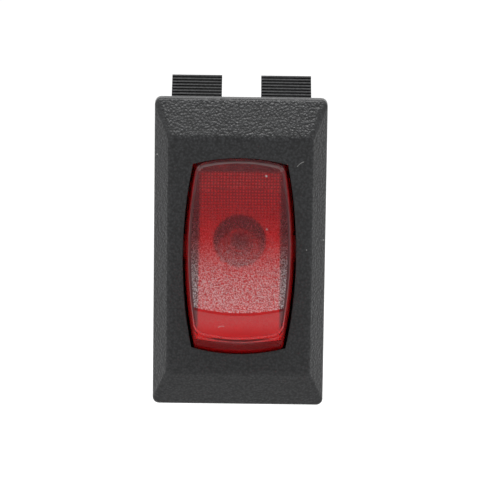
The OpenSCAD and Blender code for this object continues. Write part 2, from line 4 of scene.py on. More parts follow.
import bpy
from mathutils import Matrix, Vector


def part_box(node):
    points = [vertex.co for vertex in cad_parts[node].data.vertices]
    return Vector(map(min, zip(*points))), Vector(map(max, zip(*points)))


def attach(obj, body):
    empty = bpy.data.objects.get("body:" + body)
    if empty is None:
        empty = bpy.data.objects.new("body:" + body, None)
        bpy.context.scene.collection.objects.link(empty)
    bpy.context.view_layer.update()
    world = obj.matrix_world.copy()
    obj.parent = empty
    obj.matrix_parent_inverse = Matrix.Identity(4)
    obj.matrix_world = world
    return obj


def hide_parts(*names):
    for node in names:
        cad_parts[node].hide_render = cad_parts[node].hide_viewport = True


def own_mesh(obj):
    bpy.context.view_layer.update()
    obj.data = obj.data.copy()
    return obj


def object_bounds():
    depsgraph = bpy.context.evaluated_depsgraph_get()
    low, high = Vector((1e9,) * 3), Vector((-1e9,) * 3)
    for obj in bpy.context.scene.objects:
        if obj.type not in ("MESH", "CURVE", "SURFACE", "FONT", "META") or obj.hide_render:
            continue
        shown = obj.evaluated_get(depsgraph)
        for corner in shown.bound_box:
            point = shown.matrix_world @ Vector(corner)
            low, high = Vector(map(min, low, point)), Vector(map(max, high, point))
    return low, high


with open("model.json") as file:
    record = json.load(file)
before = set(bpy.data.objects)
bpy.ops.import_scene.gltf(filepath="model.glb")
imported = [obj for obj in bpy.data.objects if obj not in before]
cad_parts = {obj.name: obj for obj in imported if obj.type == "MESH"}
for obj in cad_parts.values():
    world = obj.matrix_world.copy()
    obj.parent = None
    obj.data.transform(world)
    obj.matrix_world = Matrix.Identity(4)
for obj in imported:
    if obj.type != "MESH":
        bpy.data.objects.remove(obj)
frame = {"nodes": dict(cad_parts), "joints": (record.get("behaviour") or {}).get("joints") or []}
cad_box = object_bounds()


# Terminal base: the black plate that closes the housing at the back and carries the terminals.
# Glass-filled nylon, injection moulded, with slots for the blades; its lugs snap into the housing.

MM = 0.001


def only(piece):
    """Selects one object alone and makes it active."""
    bpy.ops.object.select_all(action="DESELECT")
    bpy.context.view_layer.objects.active = piece
    piece.select_set(True)


def softened(node, name, radius, segments=2):
    """Copies a CAD node, joins its loose triangles into whole faces and rounds its sharp edges."""
    weld, flat, sharp = 0.0005 * MM, math.radians(0.3), math.radians(35)
    piece = bpy.data.objects.new(name, frame["nodes"][node].data.copy())
    bpy.context.scene.collection.objects.link(piece)
    only(piece)
    bpy.ops.mesh.customdata_custom_splitnormals_clear()
    bpy.ops.object.mode_set(mode="EDIT")
    bpy.ops.mesh.select_all(action="SELECT")
    bpy.ops.mesh.remove_doubles(threshold=weld)
    bpy.ops.mesh.dissolve_limited(angle_limit=flat)
    bpy.ops.object.mode_set(mode="OBJECT")
    if radius:
        rounding = piece.modifiers.new("edges", "BEVEL")
        rounding.width = radius
        rounding.segments = segments
        rounding.limit_method = "ANGLE"
        rounding.angle_limit = sharp
        bpy.ops.object.modifier_apply(modifier="edges")
    smooth_faces(piece)
    return piece


def smooth_faces(piece, angle=50):
    """Shades a piece smooth up to an angle and keeps its flat faces flat."""
    only(piece)
    bpy.ops.object.shade_smooth_by_angle(angle=math.radians(angle))
    flat = piece.modifiers.new("flat_faces", "WEIGHTED_NORMAL")
    flat.keep_sharp = True
    bpy.ops.object.modifier_apply(modifier="flat_faces")


def fitted(piece, node, body, material):
    """Lets a finished piece stand for its CAD node and gives it its material."""
    piece.data.materials.clear()
    piece.data.materials.append(material)
    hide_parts(node)
    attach(piece, body)


def wire(tree, node, sockets):
    """Sets the sockets of a shader node to values, or feeds them from other nodes."""
    for name, value in sockets.items():
        if isinstance(value, bpy.types.NodeSocket):
            tree.links.new(value, node.inputs[name])
        else:
            node.inputs[name].default_value = value


def put(tree, kind, sockets=None, **options):
    """Adds a shader node with its options and sockets."""
    made = tree.nodes.new(kind)
    for name, value in options.items():
        setattr(made, name, value)
    wire(tree, made, sockets or {})
    return made


def sums(tree, operation, *values):
    """Reckons with values in one Math node."""
    return put(tree, "ShaderNodeMath", dict(enumerate(values)), operation=operation).outputs[0]


def ramp(tree, value, start=0.0, stop=1.0, low=0.0, high=1.0, smooth=False):
    """Turns a value that runs from start to stop into one that runs from low to high."""
    limits = {"From Min": start, "From Max": stop, "To Min": low, "To Max": high}
    course = "SMOOTHSTEP" if smooth else "LINEAR"
    made = put(tree, "ShaderNodeMapRange", {"Value": value, **limits}, interpolation_type=course)
    return made.outputs["Result"]


def blend(tree, share, first, second, mode="MIX"):
    """Mixes two colours."""
    first_colour, second_colour, mixed_colour = 6, 7, 2
    sockets = {"Factor": share, first_colour: first, second_colour: second}
    made = put(tree, "ShaderNodeMix", sockets, data_type="RGBA", blend_type=mode)
    return made.outputs[mixed_colour]


def noise(tree, place, scale, detail, roughness=0.5):
    """A cloudy pattern with so many lumps to the metre."""
    made = put(tree, "ShaderNodeTexNoise", {
        "Vector": place, "Scale": scale, "Detail": detail, "Roughness": roughness})
    return made.outputs["Fac"]


def raised(tree, height, depth):
    """Stands a pattern out of the surface; gives the normal."""
    return put(tree, "ShaderNodeBump", {"Height": height, "Distance": depth}).outputs["Normal"]


def new_material(name):
    """Starts a material; gives it with its node tree, its shader and the place on the piece."""
    material = bpy.data.materials.new(name)
    material.use_nodes = True
    tree = material.node_tree
    place = put(tree, "ShaderNodeTexCoord").outputs["Object"]
    return material, tree, tree.nodes["Principled BSDF"], place


def shared_effect(name, inputs, outputs):
    """Starts a shader node group; gives its tree, its inputs and its output node."""
    tree = bpy.data.node_groups.new(name, "ShaderNodeTree")
    tree.interface.new_socket("Vector", in_out="INPUT", socket_type="NodeSocketVector")
    for socket, value in inputs.items():
        made = tree.interface.new_socket(socket, in_out="INPUT", socket_type="NodeSocketFloat")
        made.default_value = value
    for socket in outputs:
        tree.interface.new_socket(socket, in_out="OUTPUT", socket_type="NodeSocketFloat")
    return tree, tree.nodes.new("NodeGroupInput").outputs, tree.nodes.new("NodeGroupOutput")


# Moulded grain: the spark-eroded steel of the mould leaves small rounded pips on every moulding,
# with slow shifts of gloss between them.
grain_tree, grain_in, grain_out = shared_effect(
    "moulded_grain", {"Pips per metre": 1800, "Mottle per metre": 120}, ["Height", "Mottle"])
grain_pips = put(grain_tree, "ShaderNodeTexVoronoi", {
    "Vector": grain_in["Vector"], "Scale": grain_in["Pips per metre"], "Smoothness": 0.6},
    feature="SMOOTH_F1")
grain_rough = noise(grain_tree, grain_in["Vector"], grain_in["Pips per metre"], detail=2.0)
wire(grain_tree, grain_out, {
    "Height": sums(grain_tree, "SUBTRACT", grain_rough, grain_pips.outputs["Distance"]),
    "Mottle": noise(grain_tree, grain_in["Vector"], grain_in["Mottle per metre"], detail=3.0)})


def moulded_plastic(name, dark, light, roughness, depth, pips=1800, subsurface=0.0):
    """A moulded plastic: the mould's grain stands in its surface, and its gloss shifts slowly."""
    pit, pip = -0.2, 0.35
    mottle_low, mottle_high, gloss_shift = 0.3, 0.7, 0.05
    material, tree, shader, place = new_material(name)
    grain = put(tree, "ShaderNodeGroup", {"Vector": place, "Pips per metre": pips},
                node_tree=grain_tree)
    height, mottle = grain.outputs["Height"], grain.outputs["Mottle"]
    wire(tree, shader, {
        "Base Color": blend(tree, ramp(tree, height, pit, pip), dark, light),
        "Roughness": ramp(tree, mottle, mottle_low, mottle_high,
                          roughness - gloss_shift, roughness + gloss_shift),
        "Normal": raised(tree, height, depth),
        "IOR": 1.5,
        "Subsurface Weight": subsurface,
        "Subsurface Radius": (1.0, 0.9, 0.8),
        "Subsurface Scale": 0.5 * MM})
    return material


base_plastic = moulded_plastic(
    "base_plastic", (0.012, 0.012, 0.013, 1), (0.02, 0.02, 0.021, 1),
    roughness=0.42, depth=0.008 * MM, pips=2600)
terminal_plate = softened("terminal_base", "terminal_plate", 0.15 * MM)
fitted(terminal_plate, "terminal_base", "housing", base_plastic)


# Terminals: three spade blades on feet, pushed through the slots of the base and riveted down.
# Half-hard brass strip, rolled, then stamped and bent, with its edges just broken.

def vectors(tree, operation, *values):
    """Reckons with vectors in one Vector Math node."""
    made = put(tree, "ShaderNodeVectorMath", dict(enumerate(values)), operation=operation)
    gives_number = operation in ("DOT_PRODUCT", "DISTANCE", "LENGTH")
    return made.outputs["Value" if gives_number else "Vector"]


# Worn metal: the lines that rolling, drawing or turning leaves, and a thin uneven tarnish over
# them, which every metal part of the switch has gathered.
metal_tree, metal_in, metal_out = shared_effect(
    "worn_metal", {"Lines per metre": 4000, "Stretch": 0.04, "Stains per metre": 220},
    ["Lines", "Stain"])
metal_squeeze = put(metal_tree, "ShaderNodeCombineXYZ", {0: 1.0, 1: metal_in["Stretch"], 2: 1.0})
metal_along = vectors(metal_tree, "MULTIPLY", metal_in["Vector"], metal_squeeze.outputs[0])
wire(metal_tree, metal_out, {
    "Lines": noise(metal_tree, metal_along, metal_in["Lines per metre"], detail=2.0),
    "Stain": noise(metal_tree, metal_in["Vector"], metal_in["Stains per metre"],
                   detail=5.0, roughness=0.65)})


def plain_metal(name, bright, stained, roughness, stretch=0.04):
    """A bare metal: fine lines in its surface, and tarnish that dulls it."""
    tarnish_start, tarnish_full = 0.42, 0.7
    stain_low, stain_high, cleaner, duller = 0.3, 0.75, 0.06, 0.16
    line_depth = 0.001 * MM
    material, tree, shader, place = new_material(name)
    wear = put(tree, "ShaderNodeGroup", {"Vector": place, "Stretch": stretch},
               node_tree=metal_tree)
    stain = wear.outputs["Stain"]
    wire(tree, shader, {
        "Base Color": blend(tree, ramp(tree, stain, tarnish_start, tarnish_full), bright, stained),
        "Roughness": ramp(tree, stain, stain_low, stain_high,
                          roughness - cleaner, roughness + duller),
        "Normal": raised(tree, wear.outputs["Lines"], line_depth),
        "Metallic": 1.0})
    return material


terminal_brass = plain_metal(
    "terminal_brass", (0.78, 0.57, 0.25, 1), (0.52, 0.34, 0.14, 1), roughness=0.26)
for role in ("supply", "load", "ground"):
    spade = softened(f"{role}_terminal", f"{role}_spade", 0.12 * MM)
    fitted(spade, f"{role}_terminal", "housing", terminal_brass)


# Terminal rivets: three short rivets that clamp the terminals' feet to the base.
# Soft brass wire, cut to length and headed over on the back of the base.

rivet_brass = plain_metal(
    "rivet_brass", (0.8, 0.62, 0.32, 1), (0.55, 0.38, 0.18, 1), roughness=0.3, stretch=1.0)
rivet_heads = softened("terminal_rivets", "rivet_heads", 0.12 * MM, segments=3)
fitted(rivet_heads, "terminal_rivets", "housing", rivet_brass)


# Fixed contact: the button on the load terminal that the moving contact meets.
# Silver, turned, with a chamfered face, and brazed to the foot of the terminal.

def dress(node, material):
    """Gives a CAD node that stays as it is a finished material."""
    mesh = frame["nodes"][node].data
    mesh.materials.clear()
    mesh.materials.append(material)


contact_silver = plain_metal(
    "contact_silver", (0.86, 0.85, 0.82, 1), (0.5, 0.47, 0.43, 1), roughness=0.24, stretch=1.0)
dress("fixed_contact", contact_silver)


# Lamp: a small round lamp behind the upper half of the rocker, standing on two legs.
# Clear cast resin with a flange at its foot; the legs are tinned steel.

lamp_epoxy, resin, resin_shader, resin_place = new_material("lamp_epoxy")
resin_haze = noise(resin, resin_place, scale=900.0, detail=3.0)
wire(resin, resin_shader, {
    "Base Color": (0.93, 0.93, 0.9, 1),
    "Roughness": ramp(resin, resin_haze, low=0.05, high=0.3),
    "Transmission Weight": 0.8,
    "IOR": 1.54})
dress("lamp", lamp_epoxy)
tinned_wire = plain_metal(
    "tinned_wire", (0.66, 0.67, 0.69, 1), (0.4, 0.4, 0.41, 1), roughness=0.34)
dress("lamp_legs", tinned_wire)


# Resistor: the lamp's series resistor, lying along the base, its wires bent over and soldered.
# A ceramic core under beige lacquer with four colour rings; tinned copper wires; solder beads.

resistor_low, resistor_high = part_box("lamp_resistor")
resistor_half = (resistor_high.z - resistor_low.z) / 2
ring_half = 0.11
rings = [(-0.62, (0.22, 0.06, 0.02, 1)), (-0.3, (0.02, 0.02, 0.02, 1)),
         (-0.02, (0.3, 0.02, 0.02, 1)), (0.6, (0.6, 0.4, 0.1, 1))]
resistor_lacquer, lacquer, lacquer_shader, lacquer_place = new_material("resistor_lacquer")
lacquer_flow = noise(lacquer, lacquer_place, scale=1500.0, detail=2.0)
lacquer_colour = blend(lacquer, lacquer_flow, (0.5, 0.38, 0.22, 1), (0.62, 0.5, 0.31, 1))
lacquer_along = put(lacquer, "ShaderNodeSeparateXYZ", {0: lacquer_place}).outputs["Z"]
for ring_at, ring_colour in rings:
    ring_mask = sums(
        lacquer, "COMPARE", lacquer_along, ring_at * resistor_half, ring_half * resistor_half)
    lacquer_colour = blend(lacquer, ring_mask, lacquer_colour, ring_colour)
wire(lacquer, lacquer_shader, {
    "Base Color": lacquer_colour,
    "Roughness": ramp(lacquer, lacquer_flow, low=0.2, high=0.4)})
dress("lamp_resistor", resistor_lacquer)
dress("resistor_leads", tinned_wire)
solder = plain_metal(
    "solder", (0.62, 0.63, 0.64, 1), (0.36, 0.36, 0.37, 1), roughness=0.3, stretch=1.0)
dress("solder_joints", solder)


# Contact arm: the see-saw that the plunger rocks, carried by the ears of the supply terminal.
# Phosphor bronze strip, stamped and formed with a trough in its middle; a silver contact is
# riveted to one end.

arm_bronze = plain_metal(
    "arm_bronze", (0.66, 0.38, 0.19, 1), (0.36, 0.19, 0.09, 1), roughness=0.3)
see_saw = softened("contact_arm", "see_saw", 0.1 * MM)
fitted(see_saw, "contact_arm", "contact_arm", arm_bronze)
dress("moving_contact", contact_silver)


# Housing: the deep box behind the bezel, with the bores for the rocker's trunnions.
# Black glass-filled nylon with a satin finish, moulded in one piece; nubs on its sides snap into
# the bezel.

housing_plastic = moulded_plastic(
    "housing_plastic", (0.016, 0.016, 0.017, 1), (0.027, 0.027, 0.028, 1),
    roughness=0.38, depth=0.008 * MM, pips=2400)
housing_box = softened("housing", "housing_box", 0.2 * MM)
fitted(housing_box, "housing", "housing", housing_plastic)


# Rocker carrier: the frame under the lens that holds the plunger's tube and the trunnions.
# Nylon, moulded and dyed red, so that light which strays past the diffuser is red as well. The
# upper side of the tube's mouth is painted near black as a painted shadow, the rest of the mouth
# a brighter painted-lit red, and the carrier's lower end is painted brighter red as a painted glow.

pivot = next(joint for joint in frame["joints"] if joint["name"] == "rocker_tilt")["pos_m"]
rocker_turn, tube_lean, tube_start = math.radians(9), math.radians(6), 9.5 * MM
tube_turn = rocker_turn + tube_lean
tube_foot = (pivot[0], pivot[1] + tube_start * math.cos(rocker_turn),
             pivot[2] - tube_start * math.sin(rocker_turn))
tube_way = (0, -math.cos(tube_turn), math.sin(tube_turn))
mouth_radius, mouth_margin = 5.4 * MM, 0.2 * MM
mouth_low, mouth_high = 14.6 * MM, 14.9 * MM
# Painted shadow on the tube's mouth: how far its edge sits below the tube's line, where it is full
# and where it ends, its black, and the brighter painted-lit red beside it.
shadow_shift, shadow_full, shadow_end = 2.6 * MM, 5.3 * MM, 4.3 * MM
# Where the painted glow at the carrier's lower end starts and ends.
glow_start, glow_end = -14 * MM, -16.5 * MM
painted_shadow_black, painted_lit_red = (0.01, 0.001, 0.001, 1), (0.95, 0.12, 0.13, 1)
painted_glow_red = (0.9, 0.08, 0.08, 1)


def fed_by(shader, socket):
    """What feeds a socket of a shader so far."""
    return shader.inputs[socket].links[0].from_socket


def off_tube(shift):
    """Distance from the line of the plunger's tube, or from a line moved down beside it."""
    foot = (tube_foot[0], tube_foot[1] - shift * math.sin(tube_turn),
            tube_foot[2] - shift * math.cos(tube_turn))
    arm = vectors(nylon, "SUBTRACT", nylon_place, foot)
    return vectors(nylon, "LENGTH", vectors(nylon, "CROSS_PRODUCT", arm, tube_way))


carrier_nylon = moulded_plastic(
    "carrier_nylon", (0.24, 0.022, 0.025, 1), (0.34, 0.034, 0.038, 1),
    roughness=0.45, depth=0.004 * MM, subsurface=0.1)
nylon = carrier_nylon.node_tree
nylon_shader = nylon.nodes["Principled BSDF"]
nylon_place = put(nylon, "ShaderNodeTexCoord").outputs["Object"]
# Painted shadow: beyond a line moved down beside the tube's line, the upper side of the mouth is
# painted near black; the rest of the mouth is painted a brighter, lit red.
nylon_unshadowed = ramp(nylon, off_tube(shadow_shift), shadow_full, shadow_end, smooth=True)
nylon_near = ramp(nylon, off_tube(0.0), mouth_radius + mouth_margin, mouth_radius)
nylon_up = vectors(nylon, "DOT_PRODUCT", vectors(nylon, "SUBTRACT", nylon_place, tube_foot),
                   tube_way)
nylon_mouth = sums(nylon, "MULTIPLY", nylon_near, ramp(nylon, nylon_up, mouth_low, mouth_high))
nylon_height = put(nylon, "ShaderNodeSeparateXYZ", {0: nylon_place}).outputs["Z"]
# Painted glow: the carrier is painted brighter red towards its lower end, where light carried down
# through the lens would brighten it.
nylon_glow = ramp(nylon, nylon_height, glow_start, glow_end)
nylon_colour = blend(nylon, nylon_mouth, fed_by(nylon_shader, "Base Color"),
                     blend(nylon, nylon_unshadowed, painted_shadow_black, painted_lit_red))
wire(nylon, nylon_shader, {"Base Color": blend(nylon, nylon_glow, nylon_colour, painted_glow_red)})
carrier_frame = softened("rocker_carrier", "carrier_frame", 0.2 * MM)
fitted(carrier_frame, "rocker_carrier", "rocker", carrier_nylon)


# Plunger and its spring: the sprung pin that slides in the rocker's tube and rocks the contact arm.
# The pin is white acetal, moulded; the spring is coiled from drawn steel wire and bears on the
# underside of the lens.

plunger_nylon = moulded_plastic(
    "plunger_nylon", (0.78, 0.77, 0.73, 1), (0.86, 0.85, 0.81, 1),
    roughness=0.35, depth=0.003 * MM, subsurface=0.1)
dress("plunger", plunger_nylon)
spring_steel = plain_metal(
    "spring_steel", (0.72, 0.73, 0.75, 1), (0.45, 0.44, 0.44, 1), roughness=0.5)
coil_spring = softened("plunger_spring", "coil_spring", 0)
fitted(coil_spring, "plunger_spring", "rocker", spring_steel)
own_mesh(coil_spring)


# Diffuser: the thin pale plate under the lens that spreads the lamp's light.
# Milky acrylic, moulded with a close grid of small pips on its face and a round hole for the
# plunger's tube. Its upper half is painted darker and browner as painted shade, and the valleys
# between its pips there are painted darker as painted shade.

pocket_top, pocket_drop = 9.5 * MM, 1.0 * MM
plate_width, plate_length, plate_thickness = 16.3 * MM, 33.3 * MM, 1.0 * MM
plate_gap = 0.05 * MM
pip_pitch, pip_height, cells_per_pip = 0.63 * MM, 0.16 * MM, 4
plate_hole, hole_rise = 5.3 * MM, 1.88 * MM
# Painted shade: the plate is painted darker and browner towards its upper end, and its pip valleys
# are painted darker there.
upper_shade_start, upper_shade_end, upper_shade_tint = 1 * MM, 13 * MM, (0.8, 0.7, 0.6, 1)
pip_foot, pip_crown, valley_shade = 0.15, 0.75, 0.24


def flat_net(cells_across, cells_along, size):
    """Starts a flat net of cells; it stays in edit mode with all its faces selected."""
    bpy.ops.object.select_all(action="DESELECT")
    bpy.ops.mesh.primitive_grid_add(
        x_subdivisions=cells_across, y_subdivisions=cells_along, size=size)
    bpy.ops.object.mode_set(mode="EDIT")
    bpy.ops.mesh.select_all(action="SELECT")
    return bpy.context.active_object


def slab(cells_across, cells_along, size, thickness):
    """Starts a closed slab, a net of cells one layer thick, whose corners are then moved."""
    piece = flat_net(cells_across, cells_along, size)
    bpy.ops.mesh.extrude_region_move(TRANSFORM_OT_translate={"value": (0, 0, thickness)})
    bpy.ops.object.mode_set(mode="OBJECT")
    return piece


def added(name):
    """Names the primitive that was just added and applies its size."""
    piece = bpy.context.active_object
    piece.name = piece.data.name = name
    only(piece)
    bpy.ops.object.transform_apply(location=True, rotation=True, scale=True)
    return piece


def cut(piece, tool, operation="DIFFERENCE"):
    """Cuts a piece with another closed mesh, or joins the two, and removes the tool."""
    only(piece)
    change = piece.modifiers.new("cut", "BOOLEAN")
    change.operation = operation
    change.solver = "EXACT"
    change.object = tool
    bpy.ops.object.modifier_apply(modifier="cut")
    bpy.data.objects.remove(tool)


def face_outward(piece):
    """Turns all the faces of a closed piece outward and leaves edit mode."""
    bpy.ops.object.mode_set(mode="OBJECT")
    only(piece)
    bpy.ops.object.mode_set(mode="EDIT")
    bpy.ops.mesh.select_all(action="SELECT")
    bpy.ops.mesh.normals_make_consistent(inside=False)
    bpy.ops.object.mode_set(mode="OBJECT")


def set_in_rocker(piece):
    """Turns a piece that was drawn flat, its face up, into the rocker's place at rest."""
    only(piece)
    piece.rotation_euler = (math.pi / 2 - rocker_turn, 0, 0)
    piece.location = pivot
    bpy.ops.object.transform_apply(location=True, rotation=True, scale=True)


diffuser_plate = slab(round(plate_width / pip_pitch) * cells_per_pip,
                      round(plate_length / pip_pitch) * cells_per_pip, size=1, thickness=-1)
plate_face = pocket_top - plate_gap
for corner in diffuser_plate.data.vertices:
    across, along, level = corner.co
    corner.co.x = across * plate_width
    corner.co.y = along * plate_length - pocket_drop
    if level < 0:
        corner.co.z = plate_face - plate_thickness
    else:
        wave_across = 0.5 + 0.5 * math.cos(2 * math.pi * corner.co.x / pip_pitch)
        wave_along = 0.5 + 0.5 * math.cos(2 * math.pi * corner.co.y / pip_pitch)
        corner.co.z = plate_face - pip_height * (1 - wave_across * wave_along)
diffuser_plate = added("diffuser_plate")
face_outward(diffuser_plate)
bpy.ops.object.select_all(action="DESELECT")
bpy.ops.mesh.primitive_cylinder_add(
    vertices=96, radius=plate_hole, depth=6 * plate_thickness, location=(0, hole_rise, plate_face))
cut(diffuser_plate, added("plate_hole"))
pip_tops = diffuser_plate.data.attributes.new("pip_tops", "FLOAT", "POINT")
for corner in diffuser_plate.data.vertices:
    pip_tops.data[corner.index].value = max(0, 1 - (plate_face - corner.co.z) / pip_height)
set_in_rocker(diffuser_plate)
smooth_faces(diffuser_plate, angle=60)

diffuser_milk = moulded_plastic(
    "diffuser_plastic", (0.93, 0.9, 0.87, 1), (0.97, 0.95, 0.93, 1),
    roughness=0.4, depth=0.002 * MM, subsurface=0.15)
milk = diffuser_milk.node_tree
milk_shader = milk.nodes["Principled BSDF"]
milk_place = put(milk, "ShaderNodeTexCoord").outputs["Object"]
milk_height = put(milk, "ShaderNodeSeparateXYZ", {0: milk_place}).outputs["Z"]
# Painted shade: darker and browner towards the upper end, with darker pip valleys there.
milk_upper_shade = ramp(milk, milk_height, upper_shade_start, upper_shade_end, smooth=True)
milk_colour = blend(milk, milk_upper_shade, fed_by(milk_shader, "Base Color"), upper_shade_tint)
milk_pips = put(milk, "ShaderNodeAttribute", attribute_name="pip_tops").outputs["Fac"]
milk_valley_shade = ramp(milk, milk_pips, pip_foot, pip_crown, low=valley_shade)
wire(milk, milk_shader, {
    "Base Color": blend(milk, milk_upper_shade, milk_colour, milk_valley_shade, mode="MULTIPLY")})
fitted(diffuser_plate, "diffuser", "rocker", diffuser_milk)


# Rocker lens: the red cap that the finger presses, with a frosted dish between two smooth lands.
# Transparent red polycarbonate, moulded; the diffuser and the carrier sit in a pocket in its
# underside. The dish's frost fades out towards its upper end, and pale painted glints in it grow
# towards its lower end.

rocker_width, end_reach, end_bow, side_bow = 21 * MM, 21.6 * MM, 39 * MM, 97 * MM
side_draft, front_height, skirt_height = math.radians(5.4), 9 * MM, 3 * MM
crest_height, crest_place, land_fall = 12.5 * MM, 12.5 * MM, math.radians(4.9)
dish_depth, dish_cross = 1.15 * MM, 145 * MM
dish_radius = (crest_place ** 2 + dish_depth ** 2) / (2 * dish_depth)
dish_centre = crest_height - dish_depth + dish_radius
land_apex = crest_height + crest_place * math.tan(land_fall)
edge_radius, corner_radius = 0.6 * MM, 1.6 * MM
foot_radius, foot_level = 0.3 * MM, 0.6
edge_rows, side_rows, dish_rows, land_rows, wall_rings = 8, 22, 28, 16, 4
crest_share, edge_share = 0.6, 1 - edge_radius / end_reach
pocket_width, pocket_length, pocket_edge = 16.4 * MM, 33.4 * MM, 0.35 * MM


def half_width(along, height, grow=0.0):
    """Half the rocker's width at a place along it and a height above its pivot."""
    bow = side_bow + (front_height - height) * math.tan(side_draft)
    return rocker_width / 2 + grow - side_bow + math.sqrt(bow ** 2 - along ** 2)


def half_length(across, height, grow=0.0):
    """Half the rocker's length at a place across it: bowed, and turned about the pivot."""
    reach = end_reach + grow - end_bow + math.sqrt(end_bow ** 2 - across ** 2)
    return math.sqrt(reach ** 2 - height ** 2)


def dish_profile(across):
    """The dish's radius along the rocker, which shrinks away from its middle line."""
    return dish_radius - dish_cross + math.sqrt(dish_cross ** 2 - across ** 2)


def crest_line(across):
    """Where the dish runs out into the end land."""
    fall = math.tan(land_fall)
    rise = dish_centre - land_apex
    spread = (rise * fall) ** 2 - (1 + fall ** 2) * (rise ** 2 - dish_profile(across) ** 2)
    return (math.sqrt(spread) - rise * fall) / (1 + fall ** 2)


def face_height(across, along):
    """Height of the lens's face above the pivot: the dish, or the end lands outside it."""
    dish = dish_centre - math.sqrt(dish_profile(across) ** 2 - along ** 2)
    return min(dish, land_apex - abs(along) * math.tan(land_fall))


def edge_inset(row):
    """Inset of a row of the rounded edge, from the outline (row 0) to the start of the face."""
    return edge_radius * (1 - math.sin(math.pi / 2 * (1 - row / edge_rows)))


def share_across(step):
    """Share of the half width at a grid line, counted from the middle."""
    edge = edge_radius / (rocker_width / 2)
    if step <= side_rows:
        return (1 - edge) * step / side_rows
    return 1 - edge_inset(side_rows + edge_rows - step) / (rocker_width / 2)


def share_along(step):
    """Share of the half length at a grid line, from the middle, with one line on the crest."""
    if step <= dish_rows:
        return crest_share * step / dish_rows
    if step <= dish_rows + land_rows:
        return crest_share + (edge_share - crest_share) * (step - dish_rows) / land_rows
    return 1 - edge_inset(dish_rows + land_rows + edge_rows - step) / end_reach


def round_corner(a, b, level):
    """Bends the grid's square corner into a quarter circle, which grows from foot to face."""
    grown = max(0, (level - foot_level) / (1 - foot_level))
    radius = foot_radius + (corner_radius - foot_radius) * grown
    reach_a, reach_b = radius / (rocker_width / 2), radius / end_reach
    p, q = (a - 1 + reach_a) / reach_a, (b - 1 + reach_b) / reach_b
    if p <= 0 or q <= 0:
        return a, b
    return (1 - reach_a + reach_a * p * math.sqrt(1 - q * q / 2),
            1 - reach_b + reach_b * q * math.sqrt(1 - p * p / 2))


def lens_point(a, b, level):
    """A point of the skin: a and b run from the middle to the edges, level from skirt to face."""
    rounds = 8
    a, b = round_corner(a, b, level)
    across, along = a * rocker_width / 2, b * end_reach
    for _ in range(rounds):
        top = face_height(across, along)
        side_room = half_width(along, top) - across
        end_room = half_length(across, top) - along
        room = min(side_room, end_room)
        if side_room < corner_radius and end_room < corner_radius:
            room = corner_radius - math.hypot(corner_radius - side_room, corner_radius - end_room)
        depth = edge_radius - min(max(room, 0), edge_radius)
        top -= edge_radius - math.sqrt(edge_radius ** 2 - depth ** 2)
        height = skirt_height + level * (top - skirt_height)
        across = a * half_width(along, height)
        end, crest = half_length(across, height), crest_line(across)
        if b <= crest_share:
            along = crest * b / crest_share
        elif b <= edge_share:
            on_land = (b - crest_share) / (edge_share - crest_share)
            along = crest + (end - edge_radius - crest) * on_land
        else:
            along = end - (1 - b) * end_reach
    return across, along, height


half_across, half_along = side_rows + edge_rows, dish_rows + land_rows + edge_rows
rocker_cap = flat_net(2 * half_across, 2 * half_along, size=2)
bpy.ops.mesh.region_to_loop()
for _ in range(wall_rings):
    bpy.ops.mesh.extrude_edges_move(TRANSFORM_OT_translate={"value": (0, 0, -1 / wall_rings)})
bpy.ops.mesh.edge_face_add()
bpy.ops.object.mode_set(mode="OBJECT")
for corner in rocker_cap.data.vertices:
    side = math.copysign(1, corner.co.x)
    end = math.copysign(1, corner.co.y)
    a = share_across(round(abs(corner.co.x) * half_across))
    b = share_along(round(abs(corner.co.y) * half_along))
    across, along, height = lens_point(a, b, 1 + corner.co.z)
    corner.co = (side * across, end * along, height)
rocker_cap = added("rocker_cap")
face_outward(rocker_cap)


def plain_block(name, centre, size):
    """Starts a plain block."""
    bpy.ops.object.select_all(action="DESELECT")
    bpy.ops.mesh.primitive_cube_add(size=1, location=centre, scale=size)
    return added(name)


pocket = plain_block("pocket", (0, -pocket_drop, pocket_top - skirt_height),
                     (pocket_width, pocket_length, 2 * skirt_height))
bpy.ops.object.mode_set(mode="EDIT")
bpy.ops.mesh.select_all(action="SELECT")
bpy.ops.mesh.bevel(offset=pocket_edge, segments=3)
bpy.ops.object.mode_set(mode="OBJECT")
for corner in pocket.data.vertices:
    if corner.co.z < pocket_top - skirt_height:
        corner.co.z -= skirt_height
cut(rocker_cap, pocket)

# Finishes of the lens's faces: the dish is frosted, with painted glints, and its frost fades out
# towards its upper end; the lower land and the edges are matt; and a painted highlight, pale
# colour under a reflecting coat, lies on the lower dish, the lands, the edges and the walls.
face_start, wall_start = pocket_top + 0.2 * MM, pocket_width / 2 + 0.3 * MM
facing_out, facing_front, facing_side = 0.25, 0.8, 0.7
crest_strip, strip_dulling, upper_edge = 0.5 * MM, 0.7, 16 * MM
frost_run, highlight_end, highlight_run = 13 * MM, 3.5 * MM, 11.5 * MM
land_end, land_run, edge_end, edge_run = 17.4 * MM, 3.6 * MM, 17 * MM, 5 * MM
# Strengths of the painted highlight, pale colour under a reflecting coat, on each part of the lens.
land_highlight, top_highlight, wall_highlight = 0.18, 0.1, 0.12
upper_edge_highlight, edge_highlight = 0.3, 0.05


def eased(share):
    """Holds a share between 0 and 1 and eases both its ends."""
    share = min(1, max(0, share))
    return share * share * (3 - 2 * share)


